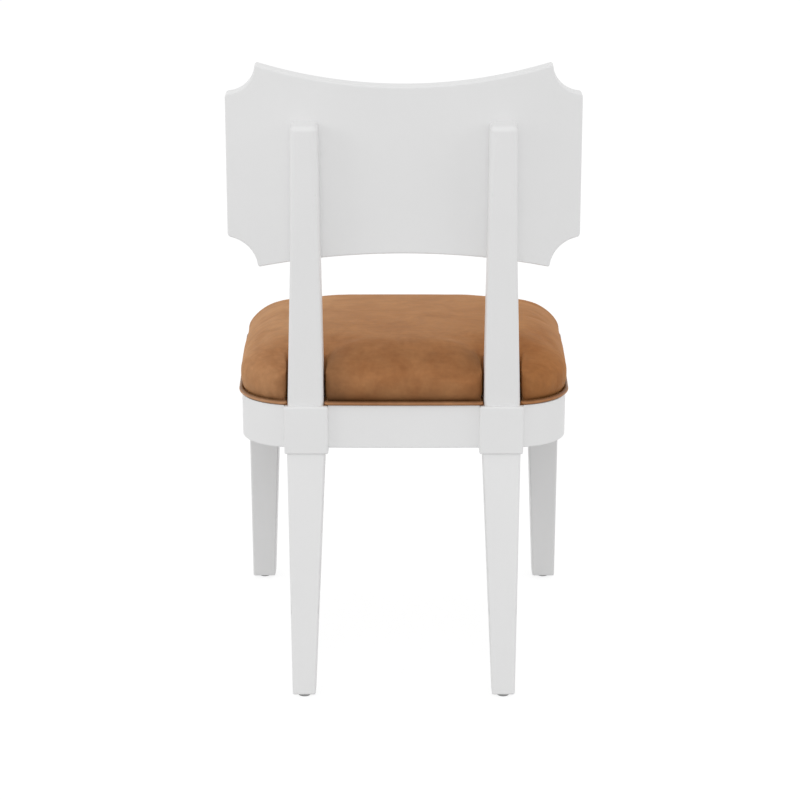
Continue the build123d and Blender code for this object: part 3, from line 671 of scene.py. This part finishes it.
def painted_shade_amount(x, y, height):
    """Painted shade on the leather, from 0 to 1: at the seam, beside the posts, behind the rear ridge."""
    flap = between_posts(x, y)
    from_rear = np.maximum(-seat_plan(x, y) - CUSHION_INSET, 0)
    seam_shade = blend(*SEAM_SPAN, height) * (PLAIN_SEAM + (1 - PLAIN_SEAM) * flap)
    beside_post = blend(*BESIDE_POST_SPAN, POST_INNER - NOTCH_GAP - np.abs(x))
    low_or_high = np.where(x > 0, blend(*LEFT_PINCH_SPAN, height), blend(*RIGHT_PINCH_SPAN, height))
    pinch_shade = flap * blend(*PINCH_SPAN, from_rear) * beside_post * low_or_high
    ridge_shade = flap * blend(*RIDGE_TOP_SPAN, from_rear) * blend(*RIDGE_FOOT_SPAN, from_rear)
    return np.clip(SEAM_SHADE * seam_shade + PINCH_SHADE * pinch_shade + RIDGE_SHADE * ridge_shade, 0, 1)


flat, faces, loop = cut_sheet(cushion_plan, GRID)
count = len(flat)
rim = sorted({corner for side in loop for corner in side})
layers = [np.column_stack([flat, np.ones(count)]), np.column_stack([flat, np.zeros(count)])]
slab_faces = [tuple(face) for face in faces]
slab_faces += [tuple(corner + count for corner in reversed(face)) for face in faces]
rim_rows = [{corner: corner for corner in rim}]
for row in range(1, WALL_ROWS):
    first = 2 * count + (row - 1) * len(rim)
    rim_rows.append({corner: first + place for place, corner in enumerate(rim)})
    layers.append(np.column_stack([flat[rim], np.full(len(rim), 1 - row / WALL_ROWS)]))
rim_rows.append({corner: corner + count for corner in rim})
for upper, lower in zip(rim_rows, rim_rows[1:]):
    slab_faces += [(upper[end], upper[start], lower[start], lower[end]) for start, end in loop]
slab = np.concatenate(layers)
x, y, level = slab.T
form = cushion_form(x, y, level)

cushion_mesh = bpy.data.meshes.new("seat_cushion")
cushion_mesh.from_pydata((form * MM).tolist(), [], slab_faces)
cushion_mesh.shade_smooth()
# Painted shade, kept on the points for the leather's material
painted_shade = cushion_mesh.attributes.new("painted_shade", "FLOAT", "POINT")
painted_shade.data.foreach_set("value", painted_shade_amount(x, y, form[:, 2] - RAIL_TOP))
cushion = bpy.data.objects.new("seat_cushion", cushion_mesh)
scene.collection.objects.link(cushion)

# The stuffing presses the leather out between its held edges
STUFFING_PRESSURE = 4.0
STUFFING_FRAMES = 20
SWELL_LIMIT = 5.0
HELD_LEVEL = 0.35
HELD_BY_SLOT = 0.9
held = (level < HELD_LEVEL) | (near_slot(x, y) > HELD_BY_SLOT) & (level < 1)
group = cushion.vertex_groups.new(name="held")
group.add(np.nonzero(held)[0].tolist(), 1.0, "REPLACE")
cloth = cushion.modifiers.new("stuffing", "CLOTH")
cloth.settings.use_pressure = True
cloth.settings.uniform_pressure_force = STUFFING_PRESSURE
cloth.settings.effector_weights.gravity = 0
cloth.settings.vertex_group_mass = "held"
for moment in range(1, STUFFING_FRAMES + 1):
    scene.frame_set(moment)
stuffed = cushion.evaluated_get(bpy.context.evaluated_depsgraph_get()).data
swelled = np.empty(3 * len(slab))
stuffed.vertices.foreach_get("co", swelled)
growth = swelled.reshape(-1, 3) / MM - form
length = np.linalg.norm(growth, axis=1)
growth *= (SWELL_LIMIT / (SWELL_LIMIT + length))[:, None]
cushion.modifiers.remove(cloth)
cushion_mesh.vertices.foreach_set("co", ((form + growth) * MM).ravel())
scene.frame_set(1)
cushion_mesh.update()
SMOOTH_LEVELS = 1
smooth = cushion.modifiers.new("smooth", "SUBSURF")
smooth.levels = SMOOTH_LEVELS
smooth.render_levels = SMOOTH_LEVELS
cushion_mesh.materials.append(tan_leather)
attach(cushion, "root")
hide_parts("seat_cover", "seat_foam")

# Welt: a leather tube along the foot of the cushion, whose ends turn into the slots beside the posts;
# each turn's points are in welt radii, sideways and forwards
WELT_END_GAP = 0.3
WELT_TURN = ((0.55, 0.25), (0.9, 0.9))
WELT_FACETS = 4
PLAN_STEPS = 1440
PLAN_REACH = 400.0
PLAN_HALVINGS = 40


def plan_outline(grow):
    """Points round the seat plan, grown outwards by a distance, from the rear middle towards the left."""
    angle = np.arange(PLAN_STEPS) * math.tau / PLAN_STEPS
    near = np.zeros(PLAN_STEPS)
    far = np.full(PLAN_STEPS, PLAN_REACH)
    for halving in range(PLAN_HALVINGS):
        middle = (near + far) / 2
        within = seat_plan(middle * np.sin(angle), middle * np.cos(angle)) < grow
        near = np.where(within, middle, near)
        far = np.where(within, far, middle)
    return [(r * math.sin(a), r * math.cos(a)) for a, r in zip(angle, near)]


welt_curve = bpy.data.curves.new("seat_welt", "CURVE")
welt_curve.dimensions = "3D"
welt_curve.bevel_depth = WELT_RADIUS * MM
welt_curve.bevel_resolution = WELT_FACETS
welt_curve.use_fill_caps = True


def turned_end(end, towards_middle):
    """Points that carry the welt's end forwards into the slot beside it."""
    end_x, end_y = end
    side = math.copysign(WELT_RADIUS, end_x) * (-1 if towards_middle else 1)
    return [(end_x + side * across, end_y - WELT_RADIUS * forwards) for across, forwards in WELT_TURN]


def add_welt(spots, towards_middle):
    """One run of welt between two posts."""
    head = turned_end(spots[0], towards_middle)
    tail = turned_end(spots[-1], towards_middle)
    route = head[::-1] + spots + tail
    spline = welt_curve.splines.new("POLY")
    spline.points.add(len(route) - 1)
    for point, (spot_x, spot_y) in zip(spline.points, route):
        point.co = (spot_x * MM, spot_y * MM, (RAIL_TOP + WELT_HEIGHT) * MM, 1)


outline = plan_outline(WELT_OUT)
end_room = 2 * WELT_RADIUS + WELT_END_GAP
rear_run = [spot for spot in outline if spot[1] > POST_FRONT and abs(spot[0]) < POST_INNER - end_room]
front_run = [spot for spot in outline if spot[1] < POST_FRONT or abs(spot[0]) > POST_OUTER + end_room]
add_welt(sorted(rear_run), towards_middle=False)
add_welt(front_run, towards_middle=True)
welt = bpy.data.objects.new("seat_welt", welt_curve)
scene.collection.objects.link(welt)
welt_curve.materials.append(welt_leather)
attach(welt, "root")
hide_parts("welt", "welt_cord")


# Fold of the leather: the flat strip, turned under the cushion, that lies on the rails
FOLD_WIDTH = 46.0
FOLD_HEIGHT = 0.4
FOLD_REACH = 2.0
fold_rim = np.array(outline)
fold_inside = fold_rim - FOLD_WIDTH * np.column_stack(slope_of(seat_plan, *fold_rim.T))
fold_level = np.full(PLAN_STEPS, RAIL_TOP + FOLD_HEIGHT)
fold_points = [np.column_stack([edge, fold_level]) * MM for edge in (fold_rim, fold_inside)]
fold_faces = []
for place in range(PLAN_STEPS):
    after = (place + 1) % PLAN_STEPS
    if post_slots(*fold_rim[[place, after]].T).min() > -NOTCH_GAP - FOLD_REACH:
        fold_faces.append((place, after, after + PLAN_STEPS, place + PLAN_STEPS))
fold_mesh = bpy.data.meshes.new("leather_fold")
fold_mesh.from_pydata(np.concatenate(fold_points).tolist(), [], fold_faces)
fold_mesh.materials.append(tan_leather)
fold = bpy.data.objects.new("leather_fold", fold_mesh)
scene.collection.objects.link(fold)
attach(fold, "root")

# Dust cover: black cambric stapled flat under the board, sagging a little in its middle
DUST_STEP = 4.0
DUST_INSET = 27.0
DUST_LEVEL = 413.7
DUST_SAG = 2.4
DUST_SPAN = (5, 150)
LEG_GAP = 3.0
REAR_BLOCK = ((105.7, 167.1), (141.8, 199.8))
FRONT_BLOCK = ((193.5, 247.2), (-248.7, -195.0))
BOLTS = ((181.5, -183.0), (148.4, 117.8))
BOLT_HOLE = 5.5


def dust_plan(x, y):
    """Distance from the edge of the dust cover, cut round the leg blocks and seat bolts; negative inside."""
    distance = seat_plan(x, y) + DUST_INSET
    for (near_x, far_x), (front_y, back_y) in (REAR_BLOCK, FRONT_BLOCK):
        beside = np.maximum(near_x - np.abs(x), np.abs(x) - far_x) - LEG_GAP
        before = np.maximum(front_y - y, y - back_y) - LEG_GAP
        distance = np.maximum(distance, -np.maximum(beside, before))
    for bolt_x, bolt_y in BOLTS:
        distance = np.maximum(distance, BOLT_HOLE - np.hypot(np.abs(x) - bolt_x, y - bolt_y))
    return distance


dust_spots, dust_faces, _ = cut_sheet(dust_plan, DUST_STEP)
dust_x, dust_y = dust_spots.T
dust_drop = DUST_SAG * blend(*DUST_SPAN, -seat_plan(dust_x, dust_y) - DUST_INSET)
dust_points = np.column_stack([dust_spots, DUST_LEVEL - dust_drop]) * MM
dust_mesh = bpy.data.meshes.new("seat_dust_cover")
dust_mesh.from_pydata(dust_points.tolist(), [], [tuple(face) for face in dust_faces])
dust_mesh.shade_smooth()
dust_mesh.materials.append(black_cambric)
dust_sheet = bpy.data.objects.new("seat_dust_cover", dust_mesh)
scene.collection.objects.link(dust_sheet)
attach(dust_sheet, "root")
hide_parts("dust_cover")
